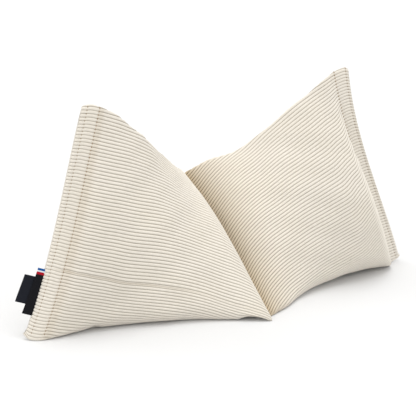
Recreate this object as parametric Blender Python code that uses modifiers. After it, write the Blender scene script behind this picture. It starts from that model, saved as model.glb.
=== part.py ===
"""Neck pillow that stands on its long edge and is pressed in at its middle.

One ribbed cloth tube is filled and closed at both ends by a flat hem with two rows of sewing, so the cover and
its filling are one solid. It is lofted through leaning sections: one table for each lobe gives where its sections
stand and how far they swell. Two folded labels stick out of the left hem. Units are metres, +Z is up, X runs
along the pillow and -Y is its front.
"""

import math

import bmesh
import bpy
import numpy as np
from mathutils import Vector

# Driving sizes of the cloth
RIBS = 140                  # ribs round the tube, about 3.6 mm apart, so the tube is about 50 cm round
STEPS_PER_RIB = 2           # one ridge and one groove
RIB_HEIGHT = 0.0005         # from groove to ridge
RIB_FADE = 0.006            # height over which the ribs are pressed flat near the floor
SEAM_RIB = 49               # ribs from the top fold down the front to the closing seam
SEAM_DEPTH = 0.0006
CORNER_POWER = 12           # how fast the hem's raised corner fades up the hem
CURVE_STEPS = 60            # points on each curve of a section before the ribs are laid on it
HANDLE = 0.42               # length of a curve's handles, as a share of its chord
MERGE = 0.00001             # points closer than this are one point

# Labels in the left hem
LABEL_THICKNESS = 0.001
LABEL_GAP = 0.0004          # clear of the hem's edge
LABEL_APART = 0.0014        # between the two labels' middle planes
LABEL_STEPS = 8
LABEL_TILT = 0.06           # how much further the labels reach at their low ends, as a share of their length
MAIN_LABEL = {"low": 0.026, "high": 0.076, "reach": 0.0088, "side": -0.5, "lean": 0.30}
CARE_LABEL = {"low": 0.036, "high": 0.066, "reach": 0.0198, "side": 0.5, "lean": 0.30}

CREAM = (0.74, 0.66, 0.53, 1.0)
BLACK = (0.012, 0.013, 0.016, 1.0)

# Where each section stands and how it swells, from the hem (station 0) to the crease (station 1). The columns are
# X of the section's foot and of its top, the ridge's Y and height, Y of the foot's front and back edges, how far
# the top fold has slipped down the front, the cloth left between the seam and the foot, and how far the section
# bows along X at mid height. The four angles, in degrees, turn the curves' handles outwards: front at the ridge
# and at the foot, back at the foot and at the ridge. Toe is the radius that rounds the front under, hem the
# hem's thickness, lift how far its corner is off the floor, and sway a bow along X that is strongest high up.
COLUMNS = (
    "station foot_x top_x ridge_y height front_y back_y fold_slip seam_rise bow "
    "front_top front_foot back_foot back_top toe hem lift sway"
)
LEFT_LOBE = (
    (0.00, -0.2465, -0.168, -0.004, 0.239, -0.013, -0.013, -0.009, 0.079, 0.0078,
     0, 0, 0, 0, 0.000, 0.0050, 0.0085, -0.004),
    (0.03, -0.2425, -0.161, -0.005, 0.240, -0.019, -0.019, -0.0072, 0.0795, 0.0075,
     0, 0, 0, 0, 0.001, 0.0042, 0.002, -0.004),
    (0.08, -0.231, -0.149, -0.006, 0.236, -0.0255, -0.024, -0.0082, 0.0775, 0.0058,
     2, 2, 2, 2, 0.002, 0.0036, 0.000, -0.0035),
    (0.13, -0.215, -0.138, -0.002, 0.230, -0.0285, -0.009, -0.0092, 0.0785, 0.003,
     12, 14, 14, 16, 0.006, 0.0020, 0.000, -0.004),
    (0.20, -0.190, -0.122, 0.002, 0.219, -0.031, 0.006, -0.0125, 0.0752, 0.000,
     15, 18, 25, 27, 0.012, 0.0015, 0.000, -0.002),
    (0.33, -0.156, -0.101, 0.009, 0.200, -0.038, 0.020, -0.0195, 0.0665, 0.000,
     17, 20, 36, 38, 0.018, 0.0010, 0.000, 0.000),
    (0.52, -0.110, -0.076, 0.020, 0.176, -0.054, 0.034, -0.025, 0.0555, 0.000,
     18, 18, 46, 46, 0.021, 0.0010, 0.000, 0.000),
    (0.74, -0.062, -0.051, 0.034, 0.153, -0.072, 0.048, -0.020, 0.039, 0.000,
     20, 14, 50, 50, 0.018, 0.0010, 0.000, 0.000),
    (0.88, -0.029, -0.032, 0.049, 0.136, -0.088, 0.056, -0.014, 0.024, 0.000,
     24, 14, 50, 50, 0.014, 0.0010, 0.001, 0.000),
    (0.98, 0.0035, -0.019, 0.058, 0.126, -0.1025, 0.060, 0.004, 0.006, 0.000,
     16, 6, 46, 45, 0.005, 0.0010, 0.000, 0.000),
    (1.00, 0.005, -0.015, 0.060, 0.122, -0.094, 0.060, 0.022, -0.0030, 0.000,
     -4, -3, 46, 44, 0.006, 0.0010, 0.000, 0.000),
)
RIGHT_LOBE = (
    (0.00, 0.223, 0.151, -0.012, 0.236, -0.022, -0.022, -0.005, 0.077, 0.0005,
     0, 0, 0, 0, 0.000, 0.0050, 0.008, -0.008),
    (0.03, 0.217, 0.147, -0.011, 0.238, -0.023, -0.023, -0.0045, 0.0785, 0.0005,
     0, 0, 0, 0, 0.001, 0.0042, 0.003, -0.008),
    (0.08, 0.205, 0.135, -0.008, 0.234, -0.028, -0.026, -0.0048, 0.0785, -0.0005,
     2, 2, 2, 2, 0.002, 0.0036, 0.001, -0.006),
    (0.13, 0.201, 0.126, -0.004, 0.226, -0.038, -0.012, -0.0062, 0.087, -0.004,
     16, 22, 14, 16, 0.010, 0.0020, 0.000, -0.003),
    (0.20, 0.188, 0.116, 0.003, 0.215, -0.044, 0.004, -0.0085, 0.090, -0.005,
     25, 33, 25, 27, 0.024, 0.0015, 0.000, 0.000),
    (0.33, 0.158, 0.098, 0.013, 0.196, -0.049, 0.017, -0.011, 0.079, -0.002,
     30, 37, 36, 38, 0.036, 0.0010, 0.000, 0.000),
    (0.52, 0.113, 0.072, 0.028, 0.170, -0.053, 0.032, -0.0098, 0.0495, 0.000,
     30, 31, 46, 46, 0.025, 0.0010, 0.000, 0.000),
    (0.74, 0.062, 0.041, 0.043, 0.144, -0.067, 0.046, -0.0035, 0.0235, 0.000,
     25, 18, 50, 50, 0.014, 0.0010, 0.000, 0.000),
    (0.88, 0.034, 0.012, 0.054, 0.134, -0.083, 0.056, 0.0102, 0.0145, 0.000,
     16, 9, 50, 50, 0.009, 0.0010, 0.000, 0.000),
    (0.98, 0.0105, -0.010, 0.059, 0.124, -0.0925, 0.060, 0.020, 0.001, 0.000,
     0, 0, 46, 45, 0.007, 0.0010, 0.000, 0.000),
    (1.00, 0.005, -0.015, 0.060, 0.122, -0.094, 0.060, 0.022, -0.0030, 0.000,
     -4, -3, 46, 44, 0.006, 0.0010, 0.000, 0.000),
)


def clear_scene():
    """Remove the objects that Blender starts with."""
    for obj in list(bpy.data.objects):
        bpy.data.objects.remove(obj, do_unlink=True)


def cloth_material(name, color, roughness):
    """Return a plain woven-cloth material."""
    material = bpy.data.materials.new(name)
    material.use_nodes = True
    shader = material.node_tree.nodes["Principled BSDF"]
    shader.inputs["Base Color"].default_value = color
    shader.inputs["Roughness"].default_value = roughness
    shader.inputs["Metallic"].default_value = 0.0
    material.diffuse_color = color
    return material


def sections(lobe):
    """Turn a lobe's rows into one dictionary of named sizes for each section."""
    return [dict(zip(COLUMNS.split(), row)) for row in lobe]


def turned(vector, degrees):
    """Return a flat vector turned anticlockwise."""
    c, s = math.cos(math.radians(degrees)), math.sin(math.radians(degrees))
    return np.array([c * vector[0] - s * vector[1], s * vector[0] + c * vector[1]])


def curve(start, end, start_angle, end_angle):
    """Return points on the cubic curve from start to end, its handles turned out to the right of its chord."""
    chord = end - start
    first = start + HANDLE * turned(chord, -start_angle)
    last = end - HANDLE * turned(chord, end_angle)
    t = (1 - np.cos(np.linspace(0.0, math.pi, CURVE_STEPS)[:, None])) / 2
    return ((1 - t) ** 3 * start + 3 * (1 - t) ** 2 * t * first + 3 * (1 - t) * t ** 2 * last + t ** 3 * end)


def section_outline(row, tall):
    """Return one section's closed outline in its own plane, as (Y, height) points, anticlockwise from the ridge.

    The front curve runs from the ridge down to the foot's front edge, the floor carries it to the back edge, and
    the back curve climbs to the ridge again. Half the hem's thickness is added on each side, and the toe is
    tucked under along a quarter circle.
    """
    ridge = np.array([row["ridge_y"], tall])
    front_foot = np.array([row["front_y"], 0.0])
    back_foot = np.array([row["back_y"], 0.0])
    front = curve(ridge, front_foot, row["front_top"], row["front_foot"])
    back = curve(back_foot, ridge, row["back_foot"], row["back_top"])
    along = -np.cos(np.linspace(0.0, math.pi, CURVE_STEPS))
    half_hem = row["hem"] / 2 * np.sqrt(1 - along ** 8)
    front[:, 0] -= half_hem
    back[:, 0] += half_hem
    if row["toe"] > 0:
        short = np.clip(1 - front[:, 1] / row["toe"], 0.0, 1.0)
        front[:, 0] += row["toe"] * (1 - np.sqrt(1 - short ** 2))
    outline = np.concatenate([front, back[:-1]])
    outline[:, 1] = np.maximum(outline[:, 1], 0.0)
    return outline


def cloth_places(row, front_length, girth):
    """Return how far round the section, from the ridge, each of the cloth's points lies, in metres.

    The top fold lies at the ridge plus its slip, and the ribs down to the seam share the way to it evenly. The
    ribs below the seam, under the foot and behind share the rest of the girth.
    """
    ribs = np.arange(RIBS * STEPS_PER_RIB) / STEPS_PER_RIB
    seam = front_length - row["seam_rise"]
    above = row["fold_slip"] + (seam - row["fold_slip"]) * ribs / SEAM_RIB
    below = seam + (girth + row["fold_slip"] - seam) * (ribs - SEAM_RIB) / (RIBS - SEAM_RIB)
    return np.where(ribs <= SEAM_RIB, above, below)


def stand_up(row, up):
    """Return X and height of points at shares of a section's height, with its lean, its bows and its corner."""
    x = row["foot_x"] + (row["top_x"] - row["foot_x"]) * up
    x = x + row["bow"] * 4 * up * (1 - up) + row["sway"] * 6.75 * up ** 2 * (1 - up)
    z = row["height"] * up + row["lift"] * np.maximum(1 - up, 0.0) ** CORNER_POWER
    return x, z


def section_points(row):
    """Return one section's points in space along the cloth, with its ribs raised and its closing seam sunk."""
    tall = math.hypot(row["height"], row["top_x"] - row["foot_x"])
    outline = section_outline(row, tall)
    closed = np.vstack([outline, outline[:1]])
    steps = np.diff(closed, axis=0)
    lengths = np.concatenate([[0.0], np.cumsum(np.linalg.norm(steps, axis=1))])
    front_length, girth = lengths[CURVE_STEPS - 1], lengths[-1]
    places = cloth_places(row, front_length, girth)
    y = np.interp(places, lengths, closed[:, 0], period=girth)
    h = np.interp(places, lengths, closed[:, 1], period=girth)

    step = girth / len(places)
    run_y = np.interp(places + step, lengths, closed[:, 0], period=girth)
    run_y -= np.interp(places - step, lengths, closed[:, 0], period=girth)
    run_h = np.interp(places + step, lengths, closed[:, 1], period=girth)
    run_h -= np.interp(places - step, lengths, closed[:, 1], period=girth)
    run = np.hypot(run_y, run_h)

    rise = np.where(np.arange(len(places)) % STEPS_PER_RIB == 0, 0.5, -0.5) * RIB_HEIGHT
    on_seam = np.abs(places - (front_length - row["seam_rise"])) < MERGE
    rise[on_seam] = -SEAM_DEPTH
    rise *= np.clip(h / RIB_FADE, 0.0, 1.0) * (row["station"] < 1.0)
    y = y + rise * run_h / run
    h = np.maximum(h - rise * run_y / run, 0.0)

    x, z = stand_up(row, h / tall)
    return np.stack([x, y, z], axis=-1)


def hem_edge(row, distance):
    """Return the point of a hem section's middle line at a distance up from its foot."""
    up = distance / math.hypot(row["height"], row["top_x"] - row["foot_x"])
    x, z = stand_up(row, up)
    y = row["front_y"] + (row["ridge_y"] - row["front_y"]) * up
    return Vector((x, y, z))


def new_object(name, bm, material, collection):
    """Store a bmesh as a named object with one material and face normals pointing out."""
    bmesh.ops.recalc_face_normals(bm, faces=bm.faces)
    mesh = bpy.data.meshes.new(name)
    bm.to_mesh(mesh)
    bm.free()
    mesh.materials.append(material)
    obj = bpy.data.objects.new(name, mesh)
    collection.objects.link(obj)
    return obj


def build_pillow(collection):
    """Loft the filled cover from the left hem over the crease to the right hem, and close both hem edges."""
    count = RIBS * STEPS_PER_RIB
    left = [section_points(row) for row in sections(LEFT_LOBE)]
    right = [section_points(row) for row in sections(RIGHT_LOBE)]
    loops = left + right[-2::-1]

    bm = bmesh.new()
    rings = [[bm.verts.new(point) for point in loop] for loop in loops]
    for ring, following in zip(rings, rings[1:]):
        for k in range(count):
            after = (k + 1) % count
            bm.faces.new((ring[k], ring[after], following[after], following[k]))
    for ring in (rings[0], rings[-1]):
        close_hem(bm, ring)
    bmesh.ops.remove_doubles(bm, verts=bm.verts, dist=MERGE)
    pillow = new_object("pillow", bm, cloth_material("ribbed_cloth", CREAM, 0.9), collection)
    pillow.data.shade_smooth()
    pillow.data.set_sharp_from_angle(angle=math.radians(50))
    return pillow


def close_hem(bm, ring):
    """Close a hem's edge with a strip that joins each front point to the back point at the same height."""
    count = len(ring)
    half = count // 2
    bm.faces.new((ring[0], ring[1], ring[-1]))
    for k in range(1, half - 1):
        bm.faces.new((ring[k], ring[k + 1], ring[count - k - 1], ring[count - k]))
    bm.faces.new((ring[half - 1], ring[half], ring[half + 1]))


def build_label(name, size, material, collection):
    """Make a flat label that stands out of the left hem's edge, square to it and leaning back a little."""
    row = sections(LEFT_LOBE)[0]
    low = hem_edge(row, size["low"])
    high = hem_edge(row, size["high"])
    along = (high - low).normalized()
    out = Vector((-along.z, size["lean"], along.x)).normalized()
    out = (out - along * out.dot(along)).normalized()
    side = along.cross(out).normalized()
    if side.y < 0:
        side = -side

    bm = bmesh.new()
    grid = []
    for i in range(LABEL_STEPS + 1):
        distance = size["low"] + (size["high"] - size["low"]) * i / LABEL_STEPS
        edge = hem_edge(row, distance) + side * size["side"] * LABEL_APART
        reach = size["reach"] + LABEL_TILT * (size["high"] - size["low"]) * (0.5 - i / LABEL_STEPS)
        near = bm.verts.new(edge + out * LABEL_GAP)
        far = bm.verts.new(edge + out * (LABEL_GAP + reach))
        grid.append((near, far))
    for (near, far), (next_near, next_far) in zip(grid, grid[1:]):
        bm.faces.new((near, far, next_far, next_near))
    label = new_object(name, bm, material, collection)
    solidify = label.modifiers.new("Thickness", "SOLIDIFY")
    solidify.thickness = LABEL_THICKNESS
    solidify.offset = 0.0
    return label


def stand_on_origin(objects, collection):
    """Parent the parts to an empty that puts the middle of their whole footprint on the origin."""
    bpy.context.view_layer.update()
    depsgraph = bpy.context.evaluated_depsgraph_get()
    corners = []
    for obj in objects:
        mesh = obj.evaluated_get(depsgraph).data
        corners.extend(vertex.co.copy() for vertex in mesh.vertices)
    points = np.array(corners)
    low, high = points.min(axis=0), points.max(axis=0)
    base = bpy.data.objects.new("pillow_base", None)
    base.location = (-(low[0] + high[0]) / 2, -(low[1] + high[1]) / 2, -low[2])
    collection.objects.link(base)
    for obj in objects:
        obj.parent = base
    print("footprint shift", tuple(round(value, 5) for value in base.location))


def main():
    clear_scene()
    collection = bpy.data.collections.new("neck_pillow")
    bpy.context.scene.collection.children.link(collection)
    black = cloth_material("woven_label", BLACK, 0.7)
    parts = [
        build_pillow(collection),
        build_label("side_label", MAIN_LABEL, black, collection),
        build_label("care_label", CARE_LABEL, black, collection),
    ]
    stand_on_origin(parts, collection)


if __name__ == "__main__":
    main()
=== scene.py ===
"""Looks of the ribbed neck pillow: its cloth cover, hem stitching and side labels, in a pale studio.

The frame gives every place. The cover is a surface of two parameters, the station along the pillow and the
rib round it, so each rib is real relief and runs unbroken from hem to hem. Units are metres.
"""

from __future__ import annotations

import logging
import math
from dataclasses import dataclass, field
from enum import Enum
from typing import Any, ClassVar

import bmesh
import bpy
import numpy as np
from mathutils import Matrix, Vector

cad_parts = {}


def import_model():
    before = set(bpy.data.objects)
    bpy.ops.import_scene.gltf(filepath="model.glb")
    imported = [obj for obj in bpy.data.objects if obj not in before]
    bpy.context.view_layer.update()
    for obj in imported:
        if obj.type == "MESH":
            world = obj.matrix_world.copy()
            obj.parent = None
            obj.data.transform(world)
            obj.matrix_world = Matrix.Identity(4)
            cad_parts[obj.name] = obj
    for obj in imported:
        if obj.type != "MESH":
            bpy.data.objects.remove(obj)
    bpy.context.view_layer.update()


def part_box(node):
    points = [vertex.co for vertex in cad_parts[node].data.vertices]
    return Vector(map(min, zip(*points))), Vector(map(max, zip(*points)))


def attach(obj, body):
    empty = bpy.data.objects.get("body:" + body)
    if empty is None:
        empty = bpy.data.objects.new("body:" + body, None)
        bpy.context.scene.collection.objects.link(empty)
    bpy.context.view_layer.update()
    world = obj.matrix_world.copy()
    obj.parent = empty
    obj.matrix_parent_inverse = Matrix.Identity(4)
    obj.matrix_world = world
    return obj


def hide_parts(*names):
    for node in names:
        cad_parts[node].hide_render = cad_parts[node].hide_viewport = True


LOG = logging.getLogger("neck_pillow")

Array = np.ndarray
Color = tuple[float, float, float, float]


# --------------------------------------------------------------------------------------------------------
# Shader graphs
# --------------------------------------------------------------------------------------------------------


class Wire:
    """A value in a shader graph. Arithmetic on it adds Math nodes."""

    def __init__(self, graph: "Graph", socket: bpy.types.NodeSocket) -> None:
        """Keep the graph and the output socket that carries the value."""
        self.graph = graph
        self.socket = socket

    def _math(self, operation: str, first: Any, second: Any = None) -> "Wire":
        """Add one Math node and return its result."""
        values = {0: first} if second is None else {0: first, 1: second}
        return self.graph.node("ShaderNodeMath", {"operation": operation}, values).out()

    def __add__(self, other: Any) -> "Wire":
        """Return self + other."""
        return self._math("ADD", self, other)

    __radd__ = __add__

    def __sub__(self, other: Any) -> "Wire":
        """Return self - other."""
        return self._math("SUBTRACT", self, other)

    def __rsub__(self, other: Any) -> "Wire":
        """Return other - self."""
        return self._math("SUBTRACT", other, self)

    def __mul__(self, other: Any) -> "Wire":
        """Return self * other."""
        return self._math("MULTIPLY", self, other)

    __rmul__ = __mul__

    def __pow__(self, other: Any) -> "Wire":
        """Return self raised to other."""
        return self._math("POWER", self, other)

    def above(self, limit: float) -> "Wire":
        """Return 1 where the value is greater than limit, and 0 elsewhere."""
        return self._math("GREATER_THAN", self, limit)

    def sine(self) -> "Wire":
        """Return the sine of the value."""
        return self._math("SINE", self)


class Node:
    """A shader node with its outputs as wires."""

    def __init__(self, graph: "Graph", node: bpy.types.ShaderNode) -> None:
        """Keep the graph and the node."""
        self.graph = graph
        self.node = node

    def out(self, name: str | int = 0) -> Wire:
        """Return one output as a wire."""
        return Wire(self.graph, self.node.outputs[name])


class Graph:
    """A material's node tree."""

    def __init__(self, name: str) -> None:
        """Start a material with an empty tree.

        Args:
            name: the material's name.
        """
        self.material = bpy.data.materials.new(name)
        self.material.use_nodes = True
        self.tree = self.material.node_tree
        self.tree.nodes.clear()

    def node(
        self, kind: str, settings: dict[str, Any] | None = None, values: dict[Any, Any] | None = None
    ) -> Node:
        """Add a node.

        Args:
            kind: the node's type name.
            settings: the node's own properties, and "stops" for a ramp's list of (place, colour).
            values: numbers, colours or wires for its input sockets, by name or number.

        Returns:
            The new node.
        """
        node = self.tree.nodes.new(kind)
        for key, value in (settings or {}).items():
            if key == "stops":
                ramp = node.color_ramp
                while len(ramp.elements) < len(value):
                    ramp.elements.new(1.0)
                for element, (place, color) in zip(ramp.elements, value):
                    element.position = place
                    element.color = color
            else:
                setattr(node, key, value)
        for key, value in (values or {}).items():
            if isinstance(value, Wire):
                self.tree.links.new(value.socket, node.inputs[key])
            else:
                node.inputs[key].default_value = value
        return Node(self, node)

    def mix(self, factor: Any, first: Any, second: Any) -> Wire:
        """Return the colour between first and second at factor."""
        node = self.node("ShaderNodeMix", {"data_type": "RGBA"}, {0: factor, 6: first, 7: second})
        return node.out(2)

    def noise(self, vector: Wire, scale: float, detail: float = 2.0, roughness: float = 0.5) -> Wire:
        """Return a noise value over a vector."""
        values = {"Vector": vector, "Scale": scale, "Detail": detail, "Roughness": roughness}
        return self.node("ShaderNodeTexNoise", {}, values).out("Fac")

    def stretched(self, vector: Wire, scale: tuple[float, float, float]) -> Wire:
        """Return a vector scaled along each axis."""
        return self.node("ShaderNodeMapping", {}, {"Vector": vector, "Scale": scale}).out()

    def bump(self, height: Wire, distance: float, strength: float = 1.0) -> Wire:
        """Return a normal raised by height times distance."""
        values = {"Height": height, "Distance": distance, "Strength": strength}
        return self.node("ShaderNodeBump", {}, values).out()

    def finish(self, values: dict[str, Any]) -> bpy.types.Material:
        """Close the graph with a Principled surface.

        Args:
            values: numbers, colours or wires for the surface's sockets.

        Returns:
            The material.
        """
        surface = self.node("ShaderNodeBsdfPrincipled", {}, values)
        self.node("ShaderNodeOutputMaterial", {}, {"Surface": surface.out()})
        return self.material


@dataclass(frozen=True)
class RibbedCotton:
    """Cream ribbed cotton: smooth pale ridges over narrow, darker grooves."""

    ridge: Color = (0.758, 0.713, 0.650, 1.0)
    warm: Color = (0.725, 0.675, 0.575, 1.0)
    groove: Color = (0.17, 0.135, 0.085, 1.0)
    # Painted shade: the next two colours are the cloth and its grooves where little light reaches, in the
    # crease and along the sewing.
    shade: Color = (0.42, 0.31, 0.165, 1.0)
    shaded_groove: Color = (0.065, 0.036, 0.012, 1.0)
    cloud_scale: float = 22.0
    yarn_scale: tuple[float, float, float] = (180.0, 1500.0, 1.0)
    dye_scale: tuple[float, float, float] = (3.0, 300.0, 1.0)
    yarn_pitch: float = 0.0006

    def material(self) -> bpy.types.Material:
        """Build the cloth's material.

        It reads the "cloth" UV map, in metres, and two attributes: "groove", 1 at the bottom of a groove, and
        "fold", how much painted shade the cloth gets in the crease, beside the left inner stitch row and in
        the left seam.
        """
        graph = Graph("ribbed_cotton")
        cloth = graph.node("ShaderNodeUVMap", {"uv_map": "cloth"}).out()
        place = graph.node("ShaderNodeTexCoord").out("Object")
        groove = graph.node("ShaderNodeAttribute", {"attribute_name": "groove"}).out("Fac")
        fold = graph.node("ShaderNodeAttribute", {"attribute_name": "fold"}).out("Fac")

        cloud = graph.noise(place, self.cloud_scale, 3.0)
        yarn = graph.noise(graph.stretched(cloth, self.yarn_scale), 1.0, 2.0, 0.6)
        dye = graph.noise(graph.stretched(cloth, self.dye_scale), 1.0, 1.0)
        base = graph.mix(cloud * 0.7 + dye * 0.3, self.ridge, self.warm)
        # Painted shade: where the fold attribute is high, the cloth goes towards a warm brown and its grooves
        # towards near black.
        base = graph.mix(fold * 0.9, base, self.shade)
        speckled = graph.mix((yarn - 0.5) * 0.35 + 0.10, base, self.groove)
        color = graph.mix(groove ** 1.8, speckled, graph.mix(fold, self.groove, self.shaded_groove))

        turns = cloth_wave(graph, cloth, self.yarn_pitch)
        height = turns * 0.35 + yarn * 0.65
        return graph.finish({
            "Base Color": color,
            "Roughness": 0.92,
            "Sheen Weight": 0.25,
            "Sheen Roughness": 0.6,
            "Specular IOR Level": 0.2,
            "Normal": graph.bump(height, 0.00012, 0.8),
        })


def cloth_wave(graph: Graph, cloth: Wire, pitch: float) -> Wire:
    """Return a wave along the cloth's first axis, from 0 to 1, one turn for each pitch."""
    along = graph.node("ShaderNodeSeparateXYZ", {}, {0: cloth}).out(0)
    return (along * (2 * math.pi / pitch)).sine() * 0.5 + 0.5


@dataclass(frozen=True)
class Thread:
    """Sewing thread with a tight twist."""

    color: Color = (0.25, 0.18, 0.115, 1.0)

    def material(self) -> bpy.types.Material:
        """Build the thread's material."""
        graph = Graph("sewing_thread")
        place = graph.node("ShaderNodeTexCoord").out("Object")
        fibre = graph.noise(place, 2600.0, 2.0)
        pale = tuple(min(1.0, 1.5 * part) for part in self.color[:3]) + (1.0,)
        return graph.finish({
            "Base Color": graph.mix(fibre, self.color, pale),
            "Roughness": 0.7,
            "Sheen Weight": 0.2,
            "Normal": graph.bump(fibre, 0.0001, 0.6),
        })


@dataclass(frozen=True)
class WovenRibbon:
    """Black woven ribbon, with bands of other colours across its top end.

    The bands are (where the band begins, as a share of the ribbon's length from its low end, colour).
    """

    name: str
    ground: Color = (0.0045, 0.0045, 0.006, 1.0)
    bands: tuple[tuple[float, Color], ...] = ()
    thread_pitch: float = 0.00045
    roughness: float = 0.75
    sheen: float = 0.03

    def material(self) -> bpy.types.Material:
        """Build the material on the "ribbon" UV map, which is in metres, and the "share" attribute."""
        graph = Graph(self.name)
        ribbon = graph.node("ShaderNodeUVMap", {"uv_map": "ribbon"}).out()
        share = graph.node("ShaderNodeAttribute", {"attribute_name": "share"}).out("Fac")
        fine = graph.noise(graph.stretched(ribbon, (2500.0, 2500.0, 1.0)), 1.0, 2.0)
        pale = tuple(part * 2.0 + 0.002 for part in self.ground[:3]) + (1.0,)
        color = graph.mix(fine * 0.7, self.ground, pale)
        for begins, band in self.bands:
            color = graph.mix(share.above(begins), color, band)
        axes = graph.node("ShaderNodeSeparateXYZ", {}, {0: ribbon})
        turn = 2 * math.pi / self.thread_pitch
        weave = (axes.out(0) * turn).sine() * (axes.out(1) * turn).sine()
        return graph.finish({
            "Base Color": color,
            "Roughness": self.roughness,
            "Sheen Weight": self.sheen,
            "Specular IOR Level": 0.08,
            "Normal": graph.bump(weave * 0.5 + fine * 0.3, 0.00008, 0.7),
        })


@dataclass(frozen=True)
class PaleFloor:
    """Matt white paper."""

    color: Color = (0.66, 0.66, 0.66, 1.0)

    def material(self) -> bpy.types.Material:
        """Build the floor's material."""
        values = {"Base Color": self.color, "Roughness": 0.9, "Specular IOR Level": 0.1}
        return Graph("pale_floor").finish(values)


# --------------------------------------------------------------------------------------------------------
# Meshes from arrays
# --------------------------------------------------------------------------------------------------------


def flowing(stations: Array, values: Array, at: Array) -> Array:
    """Carry each column of values smoothly through its stations.

    Between two stations a cubic joins their values. Its slope at a station is the weighted harmonic mean of
    the two chords' slopes, or 0 where they disagree in sign, so that the curve never overshoots.

    Args:
        stations: the places of the rows, rising.
        values: one row of named sizes for each station.
        at: where values are wanted.

    Returns:
        One row of sizes for each wanted place.
    """
    gaps = np.diff(stations)
    chords = np.diff(values, axis=0) / gaps[:, None]
    near, far = chords[:-1], chords[1:]
    first = (2 * gaps[1:] + gaps[:-1])[:, None]
    second = (gaps[1:] + 2 * gaps[:-1])[:, None]
    agree = near * far > 0
    bottom = first / np.where(agree, near, 1.0) + second / np.where(agree, far, 1.0)
    inner = np.where(agree, (first + second) / np.where(agree, bottom, 1.0), 0.0)
    slopes = np.vstack([chords[:1], inner, chords[-1:]])
    k = np.clip(np.searchsorted(stations, at, side="right") - 1, 0, len(gaps) - 1)
    gap = gaps[k][:, None]
    u = ((at - stations[k]) / gaps[k])[:, None]
    start = (1 + 2 * u) * (1 - u) ** 2 * values[k] + u * (1 - u) ** 2 * gap * slopes[k]
    end = u ** 2 * (3 - 2 * u) * values[k + 1] + u ** 2 * (u - 1) * gap * slopes[k + 1]
    return start + end


def ramp(values: Array, start: float, width: float) -> Array:
    """Return values that rise evenly from 0 at start to 1 at start + width, and stay there."""
    return np.clip((values - start) / width, 0.0, 1.0)


def unit(vectors: Array) -> Array:
    """Return vectors of length 1 along the last axis."""
    return vectors / np.maximum(np.linalg.norm(vectors, axis=-1, keepdims=True), 1e-12)


def tube_faces(rows: int, columns: int) -> Array:
    """Return the quads of a grid whose columns close into rings."""
    row = np.arange(rows - 1)[:, None] * columns
    here = np.arange(columns)[None, :]
    after = (here + 1) % columns
    corners = [row + here, row + after, row + columns + after, row + columns + here]
    return np.stack(corners, -1).reshape(-1, 4)


def ring_cap(columns: int, first: int = 0) -> list[list[int]]:
    """Return faces that close a flattened ring: point k is joined to point -k, with a triangle at each end.

    Args:
        columns: how many points the ring has, an even number.
        first: the number of its first point.

    Returns:
        The faces' point numbers.
    """
    half = columns // 2
    k = np.arange(1, half - 1)
    quads = np.stack([k, k + 1, columns - k - 1, columns - k], -1) + first
    ends = np.array([(0, 1, columns - 1), (half - 1, half, half + 1)]) + first
    return ends.tolist() + quads.tolist()


def make_object(
    name: str, points: Array, faces: list[Any], material: bpy.types.Material
) -> bpy.types.Object:
    """Make a smooth-shaded object from points and faces.

    Args:
        name: the object's name.
        points: the points, with three numbers in the last axis.
        faces: the faces' point numbers.
        material: its one material.

    Returns:
        The new object, at the origin.
    """
    mesh = bpy.data.meshes.new(name)
    mesh.from_pydata(points.reshape(-1, 3), [], faces)
    mesh.materials.append(material)
    obj = bpy.data.objects.new(name, mesh)
    bpy.context.scene.collection.objects.link(obj)
    return obj


def add_value(obj: bpy.types.Object, name: str, values: Array) -> None:
    """Store one number for each point of an object under a name."""
    layer = obj.data.attributes.new(name, "FLOAT", "POINT")
    layer.data.foreach_set("value", values.reshape(-1).astype(np.float32))


def add_uv(obj: bpy.types.Object, name: str, places: Array) -> None:
    """Store a UV map from one (u, v) for each point of an object."""
    mesh = obj.data
    corners = np.empty(len(mesh.loops), np.int32)
    mesh.loops.foreach_get("vertex_index", corners)
    layer = mesh.uv_layers.new(name=name)
    layer.data.foreach_set("uv", places.reshape(-1, 2)[corners].astype(np.float32).reshape(-1))


def close_up(obj: bpy.types.Object, distance: float = 0.000002) -> None:
    """Merge doubled points and turn all faces outwards."""
    bm = bmesh.new()
    bm.from_mesh(obj.data)
    bmesh.ops.remove_doubles(bm, verts=bm.verts, dist=distance)
    bmesh.ops.recalc_face_normals(bm, faces=bm.faces)
    bm.to_mesh(obj.data)
    bm.free()
    obj.data.shade_smooth()


# --------------------------------------------------------------------------------------------------------
# The cover
# --------------------------------------------------------------------------------------------------------


class Side(Enum):
    """A lobe of the pillow, seen from its front."""

    LEFT = "left"
    RIGHT = "right"


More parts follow.
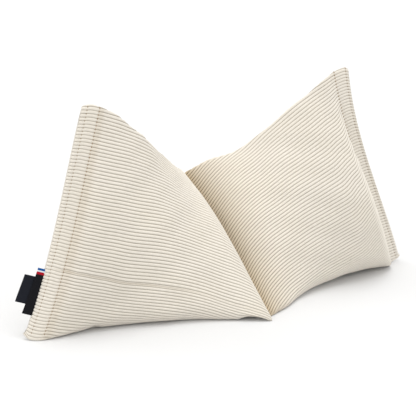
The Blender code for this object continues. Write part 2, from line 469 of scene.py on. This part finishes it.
@dataclass
class Cover:
    """The filled tube of ribbed cloth, from the left hem over the crease to the right hem.

    A row of STATIONS is one section of a lobe, from its hem, station 0, to the crease, station 1. The columns
    are X of the section's foot and of its top, the ridge's Y and height, Y of the foot's front and back
    edges, how far the top fold has slipped down the front, the cloth left between the seam and the foot, and
    how far the section bows along X at mid height. The four angles, in degrees, turn the curves' handles
    outwards: front at the ridge and at the foot, back at the foot and at the ridge. Toe is the radius that
    rounds the front under, hem the hem's thickness, lift how far its corner is off the floor, and sway a bow
    along X that is strongest high up.
    """

    COLUMNS: ClassVar[str] = (
        "station foot_x top_x ridge_y height front_y back_y fold_slip seam_rise bow "
        "front_top front_foot back_foot back_top toe hem lift sway"
    )
    STATIONS: ClassVar[dict[Side, tuple[tuple[float, ...], ...]]] = {
        Side.LEFT: (
            (0.00, -0.2465, -0.168, -0.004, 0.239, -0.013, -0.013, -0.009, 0.079, 0.0078,
             0, 0, 0, 0, 0.000, 0.0050, 0.0085, -0.004),
            (0.03, -0.2425, -0.161, -0.005, 0.240, -0.019, -0.019, -0.0072, 0.0795, 0.0075,
             0, 0, 0, 0, 0.001, 0.0042, 0.002, -0.004),
            (0.08, -0.231, -0.149, -0.006, 0.236, -0.0255, -0.024, -0.0082, 0.0775, 0.0058,
             2, 2, 2, 2, 0.002, 0.0036, 0.000, -0.0035),
            (0.13, -0.215, -0.138, -0.002, 0.230, -0.0285, -0.009, -0.0092, 0.0785, 0.003,
             12, 14, 14, 16, 0.006, 0.0020, 0.000, -0.004),
            (0.20, -0.190, -0.122, 0.002, 0.219, -0.031, 0.006, -0.0125, 0.0752, 0.000,
             15, 18, 25, 27, 0.012, 0.0015, 0.000, -0.002),
            (0.33, -0.156, -0.101, 0.009, 0.200, -0.038, 0.020, -0.0195, 0.0665, 0.000,
             17, 20, 36, 38, 0.018, 0.0010, 0.000, 0.000),
            (0.52, -0.110, -0.076, 0.020, 0.176, -0.054, 0.034, -0.025, 0.0555, 0.000,
             18, 18, 46, 46, 0.021, 0.0010, 0.000, 0.000),
            (0.74, -0.062, -0.051, 0.034, 0.153, -0.072, 0.048, -0.020, 0.039, 0.000,
             20, 14, 50, 50, 0.018, 0.0010, 0.000, 0.000),
            (0.88, -0.029, -0.032, 0.049, 0.136, -0.088, 0.056, -0.014, 0.024, 0.000,
             24, 14, 50, 50, 0.014, 0.0010, 0.001, 0.000),
            (0.93, -0.013, -0.024, 0.054, 0.130, -0.096, 0.058, -0.008, 0.0175, 0.000,
             25, 13, 48, 48, 0.010, 0.0010, 0.008, 0.000),
            (0.98, 0.0035, -0.019, 0.058, 0.126, -0.1025, 0.060, 0.004, 0.006, 0.000,
             16, 6, 46, 45, 0.005, 0.0010, 0.000, 0.000),
            (1.00, 0.005, -0.015, 0.060, 0.122, -0.094, 0.060, 0.022, -0.0030, 0.000,
             -4, -3, 46, 44, 0.006, 0.0010, 0.000, 0.000),
        ),
        Side.RIGHT: (
            (0.00, 0.223, 0.151, -0.012, 0.236, -0.022, -0.022, -0.005, 0.077, 0.0005,
             0, 0, 0, 0, 0.000, 0.0050, 0.008, -0.008),
            (0.03, 0.217, 0.147, -0.011, 0.238, -0.023, -0.023, -0.0045, 0.0785, 0.0005,
             0, 0, 0, 0, 0.001, 0.0042, 0.003, -0.008),
            (0.08, 0.205, 0.135, -0.008, 0.234, -0.028, -0.026, -0.0048, 0.0785, -0.0005,
             2, 2, 2, 2, 0.002, 0.0036, 0.001, -0.006),
            (0.13, 0.201, 0.126, -0.004, 0.226, -0.038, -0.012, -0.0062, 0.087, -0.004,
             16, 22, 14, 16, 0.010, 0.0020, 0.000, -0.003),
            (0.20, 0.188, 0.116, 0.003, 0.215, -0.044, 0.004, -0.0085, 0.090, -0.005,
             25, 33, 25, 27, 0.024, 0.0015, 0.000, 0.000),
            (0.33, 0.158, 0.098, 0.013, 0.196, -0.049, 0.017, -0.011, 0.079, -0.002,
             30, 37, 36, 38, 0.036, 0.0010, 0.000, 0.000),
            (0.52, 0.113, 0.072, 0.028, 0.170, -0.053, 0.032, -0.0098, 0.0495, 0.000,
             30, 31, 46, 46, 0.025, 0.0010, 0.000, 0.000),
            (0.74, 0.062, 0.041, 0.043, 0.144, -0.067, 0.046, -0.0035, 0.0235, 0.000,
             25, 18, 50, 50, 0.014, 0.0010, 0.000, 0.000),
            (0.88, 0.034, 0.012, 0.054, 0.134, -0.083, 0.056, 0.0102, 0.0145, 0.000,
             16, 9, 50, 50, 0.009, 0.0010, 0.000, 0.000),
            (0.93, 0.022, 0.001, 0.057, 0.129, -0.088, 0.058, 0.015, 0.009, 0.000,
             10, 5, 48, 48, 0.008, 0.0010, 0.000, 0.000),
            (0.98, 0.0105, -0.010, 0.059, 0.124, -0.0925, 0.060, 0.020, 0.001, 0.000,
             0, 0, 46, 45, 0.007, 0.0010, 0.000, 0.000),
            (1.00, 0.005, -0.015, 0.060, 0.122, -0.094, 0.060, 0.022, -0.0030, 0.000,
             -4, -3, 46, 44, 0.006, 0.0010, 0.000, 0.000),
        ),
    }

    # How dark the grooves are, as (all over, more at the crease), and the seam; the more at the crease is
    # painted shade.
    GROOVE_TONES_AND_CREASE_SHADE: ClassVar[dict[Side, tuple[float, float]]] = {
        Side.LEFT: (0.95, 0.0),
        Side.RIGHT: (0.84, 0.20),
    }
    SEAM_TONES: ClassVar[dict[Side, float]] = {Side.LEFT: 0.45, Side.RIGHT: 0.15}

    # Waves of relief, as (height, turns round, turns along, phase, share of the lobe's own phase).
    PUCKERS: ClassVar[tuple[tuple[float, ...], ...]] = (
        (1.0, 23, 0.0, 0.0, 1.0),
        (0.7, 31, 0.0, 2.1, 1.0),
        (0.5, 41, 0.0, 0.4, 0.0),
    )
    LUMPS: ClassVar[tuple[tuple[float, ...], ...]] = (
        (1.0, 5, 2.3, 0.0, 1.0),
        (0.8, 9, -3.1, 1.1, 0.0),
        (0.6, 14, 4.2, 0.0, 2.0),
    )

    ribs: int = 140
    rib_pitch: float = 0.0036
    rib_depth: float = 0.0009
    bunching: float = 0.6
    bunching_reach: float = 0.10
    # Painted shade: how far it reaches from the crease, and its ring beside the inner stitch row and along
    # the left seam.
    crease_shade_width: float = 0.022
    stitch_row_shade: float = 0.22
    stitch_row_shade_inward: float = 0.003
    stitch_row_shade_width: float = 0.004
    seam_shade: float = 0.3
    dent: float = 0.008
    dent_station: float = 0.255
    dent_rib: float = 68
    dent_size: tuple[float, float] = (0.016, 0.14)
    seam_rib: int = 49
    seam_depth: float = 0.0005
    seam_width: float = 0.0009
    seam_loss: float = 0.75
    rib_steps: tuple[float, ...] = (0.0, 0.22, 0.36, 0.50, 0.64, 0.78)
    rib_heights: tuple[float, ...] = (1.0, 0.93, 0.66, 0.0, 0.66, 0.93)
    row_knots: tuple[int, ...] = (0, 4, 13, 23, 46, 56)
    station_knots: tuple[float, ...] = (0.0, 0.014, 0.086, 0.20, 0.950, 1.0)
    length: float = 0.25
    curve_steps: int = 120
    handle: float = 0.42
    stitch_stations: tuple[float, float] = (0.026, 0.080)
    stitch_width: float = 0.005
    stitch_pinch: float = 0.0013
    edge_round: float = 0.010
    pinch_flattening: float = 0.45
    pressed_height: float = 0.004
    lift_flatness: float = 0.8
    crease_fade: float = 0.012
    hem_tone: float = 0.8
    # Painted shade: how far the grooves' extra darkening reaches from the crease.
    crease_shade_reach: float = 0.12
    probe: float = 0.0012
    pucker_depth: float = 0.0004
    unevenness: float = 0.0009
    finish: RibbedCotton = field(default_factory=RibbedCotton)

    def sizes(self, side: Side, at: Array) -> dict[str, Array]:
        """Return the named sizes of a lobe at stations, each as a column."""
        table = np.array(self.STATIONS[side])
        smooth = flowing(table[:, 0], table, at)
        sizes = {name: smooth[:, k : k + 1] for k, name in enumerate(self.COLUMNS.split())}
        rows = self.stitch_stations
        pinch = sum(np.exp(-(((sizes["station"] - row) / self.stitch_width) ** 2)) for row in rows)
        round_edge = np.sqrt(1 - (1 - np.clip(sizes["station"] / self.edge_round, 0.08, 1.0)) ** 2)
        sizes["pinch"] = pinch
        sizes["hem"] = (sizes["hem"] - self.stitch_pinch * pinch) * round_edge
        sizes["tall"] = np.hypot(sizes["height"], sizes["top_x"] - sizes["foot_x"])
        return sizes

    def sampling(self) -> Array:
        """Return curve parameters from 0 to 1 that crowd at both ends."""
        return (1 - np.cos(np.linspace(0.0, math.pi, self.curve_steps))) / 2

    def curve(self, start: Array, end: Array, start_angle: Array, end_angle: Array) -> Array:
        """Return points on the cubic from start to end, its handles turned out to the right of its chord.

        With t from 0 to 1, a point is (1-t)^3 start + 3 (1-t)^2 t first + 3 (1-t) t^2 last + t^3 end.
        """
        chord = end - start

        def turned(degrees: Array) -> Array:
            """Turn the chord anticlockwise."""
            c, s = np.cos(np.radians(degrees)), np.sin(np.radians(degrees))
            y, z = chord[:, :1], chord[:, 1:]
            return np.concatenate([c * y - s * z, s * y + c * z], 1)

        first = (start + self.handle * turned(-start_angle))[:, None]
        last = (end - self.handle * turned(end_angle))[:, None]
        t = self.sampling()[None, :, None]
        outer = (1 - t) ** 3 * start[:, None] + t ** 3 * end[:, None]
        return outer + 3 * (1 - t) ** 2 * t * first + 3 * (1 - t) * t ** 2 * last

    def outlines(self, sizes: dict[str, Array]) -> Array:
        """Return the sections' closed outlines as (Y, height) points, anticlockwise from the ridge."""
        zero = np.zeros_like(sizes["tall"])
        ridge = np.hstack([sizes["ridge_y"], sizes["tall"]])
        front_foot = np.hstack([sizes["front_y"], zero])
        back_foot = np.hstack([sizes["back_y"], zero])
        front = self.curve(ridge, front_foot, sizes["front_top"], sizes["front_foot"])
        back = self.curve(back_foot, ridge, sizes["back_foot"], sizes["back_top"])
        half_hem = sizes["hem"] / 2 * np.sqrt(1 - (2 * self.sampling()[None, :] - 1) ** 8)
        front[:, :, 0] -= half_hem
        back[:, :, 0] += half_hem
        short = np.clip(1 - front[:, :, 1] / sizes["toe"].clip(1e-6), 0.0, 1.0)
        front[:, :, 0] += sizes["toe"] * (1 - np.sqrt(1 - short ** 2))
        outline = np.concatenate([front, back], axis=1)
        outline[:, :, 1] = np.maximum(outline[:, :, 1], 0.0)
        return outline

    def rib_places(self, sizes: dict[str, Array], ribs: Array, front: Array, girth: Array) -> Array:
        """Return how far round each section the ribs lie, from the ridge.

        They share the way from the top fold to the seam evenly, and then the rest of the girth.
        """
        seam = front - sizes["seam_rise"]
        above = sizes["fold_slip"] + (seam - sizes["fold_slip"]) * ribs / self.seam_rib
        share = (ribs - self.seam_rib) / (self.ribs - self.seam_rib)
        below = seam + (girth + sizes["fold_slip"] - seam) * share
        return np.where(ribs <= self.seam_rib, above, below)

    def smooth_points(
        self, side: Side, stations: Array, ribs: Array
    ) -> tuple[Array, Array, Array, dict[str, Array]]:
        """Lay the ribs on a lobe's sections, without their relief.

        Args:
            side: the lobe.
            stations: one number for each section, two or more.
            ribs: where round the tube points are wanted, in ribs from the top fold.

        Returns:
            The points, their outward normals, how far each point is from the seam, and the sections' sizes.
        """
        sizes = self.sizes(side, stations)
        outline = self.outlines(sizes)
        steps = np.linalg.norm(np.diff(outline, axis=1), axis=2)
        lengths = np.concatenate([np.zeros((len(stations), 1)), np.cumsum(steps, axis=1)], axis=1)
        girth = lengths[:, -1:]
        front = lengths[:, self.curve_steps - 1 : self.curve_steps]
        places = self.rib_places(sizes, ribs[None, :], front, girth)
        stride = np.arange(len(stations))[:, None]

        def at(where: Array) -> Array:
            """Read the outlines at distances round them, all rows in one interpolation."""
            shifted = (np.mod(where, girth) + stride).reshape(-1)
            table = (lengths + stride).reshape(-1)
            flat = outline.reshape(-1, 2)
            values = [np.interp(shifted, table, flat[:, k]).reshape(where.shape) for k in (0, 1)]
            return np.stack(values, -1)

        flat = at(places)
        run = at(places + self.probe) - at(places - self.probe)
        points = self.lean(flat, sizes, side)
        ahead = self.lean(flat + run, sizes, side) - points
        across = np.gradient(points, axis=0)
        if side is Side.RIGHT:
            across = -across
        normals = unit(np.cross(ahead, across))
        seam_gap = places - (front - sizes["seam_rise"])
        return points, normals, seam_gap, sizes

    def lean(self, flat: Array, sizes: dict[str, Array], side: Side) -> Array:
        """Stand flat (Y, height) points up in space, each section leaning from its foot to its top.

        With u the share of the way up, X goes evenly from foot to top, plus bow times 4 u (1 - u), plus sway
        times 6.75 u^2 (1 - u), two curves that are 1 at their highest. What would be below the lift is
        flattened towards it.
        """
        up = flat[..., 1] / sizes["tall"]
        x = sizes["foot_x"] + (sizes["top_x"] - sizes["foot_x"]) * up
        x = x + sizes["bow"] * 4 * up * (1 - up) + sizes["sway"] * 6.75 * up ** 2 * (1 - up)
        z = sizes["height"] * up
        flat_foot = self.lift_flatness * sizes["lift"] + (1 - self.lift_flatness) * z
        z = np.where(z < sizes["lift"], flat_foot, z)
        return np.stack([x, flat[..., 0], z], -1)

    def lobe(self, side: Side) -> tuple[Array, Array, Array, Array]:
        """Lay out one lobe with all its relief.

        A point is its smooth place plus its normal times (rib height - 1/2) rib_depth, less the seam, plus
        the billows, all faded out where the cloth is pressed to the floor.

        Args:
            side: the lobe.

        Returns:
            The points, their groove values, their cloth coordinates and how much each lies on the seam.
        """
        stations = np.interp(np.arange(self.row_knots[-1] + 1), self.row_knots, self.station_knots)
        ribs = (np.arange(self.ribs)[:, None] + np.array(self.rib_steps)[None, :]).reshape(-1)
        points, normals, seam_gap, sizes = self.smooth_points(side, stations, ribs)
        station = sizes["station"]
        turn = 2 * math.pi * ribs[None, :] / self.ribs
        clear = ramp(points[..., 2], 0.0, self.pressed_height)

        high = np.tile(np.array(self.rib_heights), self.ribs)[None, :]
        seam_line = np.exp(-((seam_gap / self.seam_width) ** 2)) * ramp(station, 0.02, 0.08)
        seam_line = seam_line * (1 - self.seam_loss * ramp(station, 0.45, 0.35))
        rise = (high - 0.5) * self.rib_depth * (1 - self.pinch_flattening * sizes["pinch"])
        if side is Side.RIGHT:
            rise = rise * (1 + self.bunching * np.exp(-(1 - station) / self.bunching_reach))
        sunk = self.seam_depth if side is Side.LEFT else 0.0
        rise = rise * (1 - seam_line) - sunk * seam_line
        rise = rise * ramp(1 - station, 0.0, self.crease_fade) + self.billows(side, station, turn)
        points = points + normals * (rise * clear)[..., None]
        points[..., 2] = np.maximum(points[..., 2], 0.0)

        groove = (1 - high) * clear * np.ones_like(station)
        tone, more = self.GROOVE_TONES_AND_CREASE_SHADE[side]
        # Painted shade: the grooves darken towards the crease, on the right lobe only.
        groove = groove * (tone + more * np.exp(-(1 - station) / self.crease_shade_reach))
        groove = groove * (self.hem_tone + (1 - self.hem_tone) * ramp(station, 0.07, 0.02))
        groove = np.maximum(groove * (1 - seam_line), self.SEAM_TONES[side] * seam_line * clear)
        sign = -1.0 if side is Side.LEFT else 1.0
        along = sign * (1 - station) * self.length
        cloth = np.stack(np.broadcast_arrays(along, ribs[None, :] * self.rib_pitch), -1)
        return points, groove, cloth, seam_line

    def billows(self, side: Side, station: Array, turn: Array) -> Array:
        """Return soft relief: puckers that fade from the inner stitch row, and the filling's unevenness.

        Each is a sum of sines round the tube and along it, faded by how far the station is from the hem. On
        the left lobe a dent near the foot sinks by dent times exp(-r^2), r in the dent's own sizes.
        """
        shift = 0.0 if side is Side.LEFT else 1.7
        from_stitch = np.maximum(station - self.stitch_stations[1], 0.0)
        fade = from_stitch / 0.02 * np.exp(1 - from_stitch / 0.02)
        body = ramp(station, 0.12, 0.15) * ramp(1 - station, 0.0, 0.15)
        along = 2 * math.pi * station

        def waves(table: tuple[tuple[float, ...], ...]) -> Array:
            """Add up a table's sines."""
            return sum(
                height * np.sin(turns * turn + lengths * along + phase + own * shift)
                for height, turns, lengths, phase, own in table
            )

        relief = self.pucker_depth / 2 * fade * waves(self.PUCKERS)
        relief = relief + self.unevenness / 2 * body * waves(self.LUMPS)
        if side is Side.LEFT:
            lengthwise, roundwise = self.dent_size
            middle = 2 * math.pi * self.dent_rib / self.ribs
            where = ((station - self.dent_station) / lengthwise) ** 2 + ((turn - middle) / roundwise) ** 2
            relief = relief - self.dent * np.exp(-where)
        return relief

    def build(self, offset: Array) -> bpy.types.Object:
        """Join both lobes at the crease, close the hems' edges and dress the cover.

        Args:
            offset: from the crease's foot to the frame's origin.

        Returns:
            The cover.
        """
        left, left_groove, left_cloth, left_seam = self.lobe(Side.LEFT)
        right, right_groove, right_cloth, right_seam = self.lobe(Side.RIGHT)
        points = np.concatenate([left, right[-2::-1]]) + offset
        groove = np.concatenate([left_groove, right_groove[-2::-1]])
        cloth = np.concatenate([left_cloth, right_cloth[-2::-1]])
        inward = cloth[..., 0]
        # Painted shade for the fold attribute: on the right lobe, fading from the crease; in a ring beside
        # the left inner stitch row; and along the left lobe's sunk seam.
        fold = np.where(inward > 0, np.exp(-np.abs(inward) / self.crease_shade_width), 0.0)
        inner_row = -(1 - self.stitch_stations[1]) * self.length
        beside = (inward - inner_row - self.stitch_row_shade_inward) / self.stitch_row_shade_width
        fold = fold + self.stitch_row_shade * np.exp(-(beside ** 2))
        fold = fold + self.seam_shade * np.concatenate([left_seam, np.zeros_like(right_seam[-2::-1])])
        rows, columns = groove.shape
        faces = tube_faces(rows, columns).tolist()
        faces = faces + ring_cap(columns) + ring_cap(columns, (rows - 1) * columns)
        cover = make_object("ribbed_cover", points, faces, self.finish.material())
        add_value(cover, "groove", groove)
        add_value(cover, "fold", fold)
        add_uv(cover, "cloth", cloth)
        close_up(cover)
        return cover

    def hem_edge(self, distances: Array) -> Array:
        """Return points of the left hem's folded edge at distances up from its foot."""
        sizes = self.sizes(Side.LEFT, np.array([0.0]))
        up = distances / sizes["tall"][0, 0]
        middle = sizes["front_y"] + (sizes["ridge_y"] - sizes["front_y"]) * up
        return self.lean(np.stack([middle, up[None, :] * sizes["tall"]], -1), sizes, Side.LEFT)[0]


@dataclass
class Topstitching:
    """Two rows of stitches through each hem, seen on its front and on its back."""

    cover: Cover
    span: float = 0.0030
    radii: tuple[float, float] = (0.00038, 0.00050)
    rise: float = 0.0005
    sunk: float = 0.0001
    off_floor: float = 0.006
    probe: float = 0.002
    rings: int = 5
    sides: int = 6
    finish: Thread = field(default_factory=Thread)

    def build(self, side: Side, offset: Array) -> bpy.types.Object:
        """Sew one hem: a stitch lies over each groove, arched, with its ends drawn into the cloth.

        A point of a stitch at u from 0 to 1 along it and angle v round it is the groove's place, plus the run
        of the row times span (u - 1/2), plus the normal times rise sin(pi u), plus radius sin(pi u)^(1/2)
        round. The outer row's thread is the finer one.

        Args:
            side: the lobe whose hem is sewn.
            offset: from the crease's foot to the frame's origin.

        Returns:
            The stitches, joined.
        """
        ribs = np.arange(self.cover.ribs) + 0.5
        places = []
        for station, radius in zip(self.cover.stitch_stations, self.radii):
            near = np.array([station - self.probe, station, station + self.probe])
            points, normals, _, _ = self.cover.smooth_points(side, near, ribs)
            run = unit(np.roll(points[1], -1, axis=0) - np.roll(points[1], 1, axis=0))
            keep = points[1, :, 2] > self.off_floor
            places.append((points[1][keep], run[keep], normals[1][keep], np.full(keep.sum(), radius)))
        centre, run, normal, radius = (np.concatenate(parts) for parts in zip(*places))
        cross = unit(np.cross(run, normal))
        u = np.linspace(0.0, 1.0, self.rings + 2)
        v = np.arange(self.sides) / self.sides * 2 * math.pi
        arch = np.sin(math.pi * u)
        thick = radius[:, None] * np.sqrt(np.clip(arch, 0.0, 1.0))
        spine = (
            centre[:, None]
            + run[:, None] * (self.span * (u - 0.5))[None, :, None]
            + normal[:, None] * (self.rise * arch - self.sunk)[None, :, None]
        )
        ring = (
            cross[:, None, None] * np.cos(v)[None, None, :, None]
            + normal[:, None, None] * np.sin(v)[None, None, :, None]
        )
        points = spine[:, :, None] + ring * thick[:, :, None, None] + offset
        rows = self.rings + 2
        one = tube_faces(rows, self.sides)
        faces = one[None] + (np.arange(len(centre)) * rows * self.sides)[:, None, None]
        quads = faces.reshape(-1, 4).tolist()
        stitches = make_object(f"{side.value}_topstitching", points, quads, self.finish.material())
        close_up(stitches)
        return stitches


@dataclass
class HemLabel:
    """A ribbon folded in two whose ends are sewn into the left hem."""

    name: str
    low: float
    high: float
    reach: float
    side: float
    finish: WovenRibbon
    lean: float = 0.30
    tilt: float = 0.06
    apart: float = 0.0014
    sewn_in: float = 0.002
    ply: float = 0.00035
    fold: float = 0.00032
    curl: float = 0.0006
    curl_turns: float = 0.65
    curl_phase: float = 0.4
    length_steps: int = 40
    width_steps: int = 16
    fold_steps: int = 8

    def profile(self) -> tuple[Array, Array]:
        """Return the folded ribbon's middle line as (out, side) points, and its normals.

        It runs out straight, turns half a circle of radius fold, and runs back.
        """
        straight = np.linspace(-self.sewn_in, self.reach - self.fold - self.ply / 2, self.width_steps)
        angle = np.linspace(-math.pi / 2, math.pi / 2, self.fold_steps + 2)[1:-1]
        there = np.stack([straight, np.full_like(straight, -self.fold)], -1)
        turn = np.stack([straight[-1] + self.fold * np.cos(angle), self.fold * np.sin(angle)], -1)
        back = np.stack([straight[::-1], np.full_like(straight, self.fold)], -1)
        line = np.concatenate([there, turn, back])
        run = unit(np.gradient(line, axis=0))
        return line, np.stack([run[:, 1], -run[:, 0]], -1)

    def build(self, cover: Cover, offset: Array) -> bpy.types.Object:
        """Carry the folded profile along the hem's edge.

        Args:
            cover: the cover whose left hem holds the label.
            offset: from the crease's foot to the frame's origin.

        Returns:
            The label.
        """
        share = np.linspace(0.0, 1.0, self.length_steps)
        edge = cover.hem_edge(self.low + (self.high - self.low) * share)
        along = unit(edge[-1:] - edge[:1])
        out = np.stack([-along[:, 2], np.full(1, self.lean), along[:, 0]], -1)
        out = unit(out - along * (out * along).sum(-1, keepdims=True))
        across = unit(np.cross(along, out))
        across = across * np.sign(across[:, 1:2])

        line, normal = self.profile()
        outer = line + normal * self.ply / 2
        inner = line - normal * self.ply / 2
        loop = np.concatenate([outer, inner[::-1]])
        bend = self.curl * (loop[:, 0] / self.reach) ** 2
        wave = np.sin(2 * math.pi * share * self.curl_turns + self.curl_phase)
        sideways = loop[None, :, 1] + self.side * self.apart + bend[None, :] * wave[:, None]
        outward = loop[None, :, :1] + (self.tilt * (self.high - self.low) * (0.5 - share))[:, None, None]
        points = edge[:, None] + out * outward + across * sideways[..., None]
        rows, columns = sideways.shape
        quads = tube_faces(rows, columns)
        k = np.arange(len(line) - 1)
        cap = np.stack([k, k + 1, columns - k - 2, columns - k - 1], -1)
        faces = np.concatenate([quads, cap, cap + (rows - 1) * columns]).tolist()
        label = make_object(self.name, points + offset, faces, self.finish.material())
        add_value(label, "share", np.broadcast_to(share[:, None], sideways.shape).copy())
        width = np.broadcast_to(loop[None, :, 0], sideways.shape)
        height = np.broadcast_to((share * (self.high - self.low))[:, None], sideways.shape)
        add_uv(label, "ribbon", np.stack([width, height], -1))
        close_up(label)
        return label

    def flat_size(self) -> tuple[float, float]:
        """Return the ribbon's width and length before it was folded."""
        return self.high - self.low, 2 * (self.reach + self.sewn_in)


# --------------------------------------------------------------------------------------------------------
# The studio
# --------------------------------------------------------------------------------------------------------


@dataclass
class Studio:
    """A white paper floor, four soft lights in white surroundings, and the camera."""

    floor_size: float = 14.0
    azimuth: float = -30.0
    elevation: float = 20.0
    distance: float = 1.982
    lens: float = 157.5
    sensor: float = 36.0
    surroundings: float = 1.09
    aim_height: float = 0.10
    aim_right: float = -0.0161
    aim_up: float = -0.0028

    def floor(self) -> None:
        """Lay the floor."""
        half = self.floor_size / 2
        points = np.array([(-half, -half, 0.0), (half, -half, 0.0), (half, half, 0.0), (-half, half, 0.0)])
        floor = make_object("studio_floor", points, [(0, 1, 2, 3)], PaleFloor().material())

    def light(
        self, name: str, place: Vector, target: Vector, size: float, power: float, color: Color
    ) -> None:
        """Hang one square soft light that faces its target.

        Args:
            name: the light's name.
            place: where it hangs.
            target: what it faces.
            size: the length of its sides.
            power: its power in watts.
            color: its colour.
        """
        data = bpy.data.lights.new(name, "AREA")
        data.shape = "SQUARE"
        data.size = size
        data.energy = power
        data.color = color[:3]
        lamp = bpy.data.objects.new(name, data)
        lamp.location = place
        lamp.rotation_euler = (target - place).to_track_quat("-Z", "Y").to_euler()
        bpy.context.scene.collection.objects.link(lamp)

    def lights(self, centre: Vector) -> None:
        """Light the pillow mostly by white surroundings and from above, with a warm key from the left."""
        self.light("key", centre + Vector((-4.0, -1.5, 2.8)), centre, 1.6, 24.0, (1.0, 0.985, 0.96, 1.0))
        self.light("fill", centre + Vector((3.0, -3.4, 3.6)), centre, 3.0, 24.0, (1.0, 1.0, 1.0, 1.0))
        self.light("top", centre + Vector((0.0, 0.0, 5.0)), centre, 3.0, 112.0, (1.0, 1.0, 1.0, 1.0))
        self.light("back", centre + Vector((-1.8, 2.8, 3.2)), centre, 1.6, 18.0, (1.0, 1.0, 1.0, 1.0))
        bpy.context.scene.view_settings.view_transform = "Standard"
        world = bpy.data.worlds.new("studio_white")
        world.use_nodes = True
        background = world.node_tree.nodes["Background"]
        background.inputs["Color"].default_value = (1.0, 1.0, 1.0, 1.0)
        background.inputs["Strength"].default_value = self.surroundings
        bpy.context.scene.world = world

    def camera(self, foot: Vector) -> None:
        """Place the camera round a point above the crease's foot.

        The lens looks a little past that point, so that the pillow sits where it should in the picture.
        """
        a, e = math.radians(self.azimuth), math.radians(self.elevation)
        back = Vector((math.sin(a) * math.cos(e), -math.cos(a) * math.cos(e), math.sin(e)))
        right = Vector((math.cos(a), math.sin(a), 0.0))
        up = back.cross(right)
        point = foot + Vector((0.0, 0.0, self.aim_height))
        data = bpy.data.cameras.new("camera")
        data.lens = self.lens
        data.sensor_width = self.sensor
        camera = bpy.data.objects.new("camera", data)
        camera.location = point + back * self.distance
        target = point + right * self.aim_right + up * self.aim_up
        camera.rotation_euler = (target - camera.location).to_track_quat("-Z", "Y").to_euler()
        bpy.context.scene.collection.objects.link(camera)
        bpy.context.scene.camera = camera

    def build(self, foot: Vector) -> None:
        """Set up floor, lights and camera round the pillow."""
        self.floor()
        self.lights(foot + Vector((0.0, 0.0, self.aim_height)))
        self.camera(foot)


def frame_offset(cover: Cover) -> Array:
    """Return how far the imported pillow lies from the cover's own axes, by the middles of their boxes."""
    low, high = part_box("pillow")
    stations, ribs = np.linspace(0.0, 1.0, 101), np.arange(0.0, cover.ribs)
    points = np.concatenate([cover.smooth_points(side, stations, ribs)[0].reshape(-1, 3) for side in Side])
    middle = (points.min(axis=0) + points.max(axis=0)) / 2
    return np.array([(low[0] + high[0]) / 2 - middle[0], (low[1] + high[1]) / 2 - middle[1], 0.0])


def main() -> None:
    """Build every piece around the frame, in order."""
    logging.basicConfig(level=logging.INFO, format="%(message)s")
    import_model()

    cover = Cover()
    offset = frame_offset(cover)
    LOG.info("crease's foot stands at %s", np.round(offset, 5))

    pillow = cover.build(offset)
    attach(pillow, "root")
    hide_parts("pillow")
    LOG.info("ribbed cover: %d faces", len(pillow.data.polygons))

    for side in Side:
        stitches = Topstitching(cover).build(side, offset)
        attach(stitches, "root")
        LOG.info("%s: %d faces", stitches.name, len(stitches.data.polygons))

    blue, white, red = (0.004, 0.075, 0.26, 1.0), (0.66, 0.70, 0.76, 1.0), (0.36, 0.006, 0.016, 1.0)
    main_ribbon = WovenRibbon("black_ribbon", bands=((0.868, red), (0.925, white), (0.955, blue)))
    satin = WovenRibbon("satin_ribbon", ground=(0.006, 0.007, 0.011, 1.0), roughness=0.5, sheen=0.05)
    labels = (
        HemLabel("side_ribbon", 0.026, 0.076, 0.0092, -0.5, main_ribbon),
        HemLabel("care_ribbon", 0.036, 0.066, 0.0202, 0.5, satin),
    )
    for label, node, slot in zip(labels, ("side_label", "care_label"), ("woven_label", "care_label")):
        ribbon = label.build(cover, offset)
        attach(ribbon, "root")
        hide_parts(node)
        label.flat_size()
        LOG.info("%s: %d faces", ribbon.name, len(ribbon.data.polygons))

    Studio().build(Vector(offset))


if __name__ == "__main__":
    main()
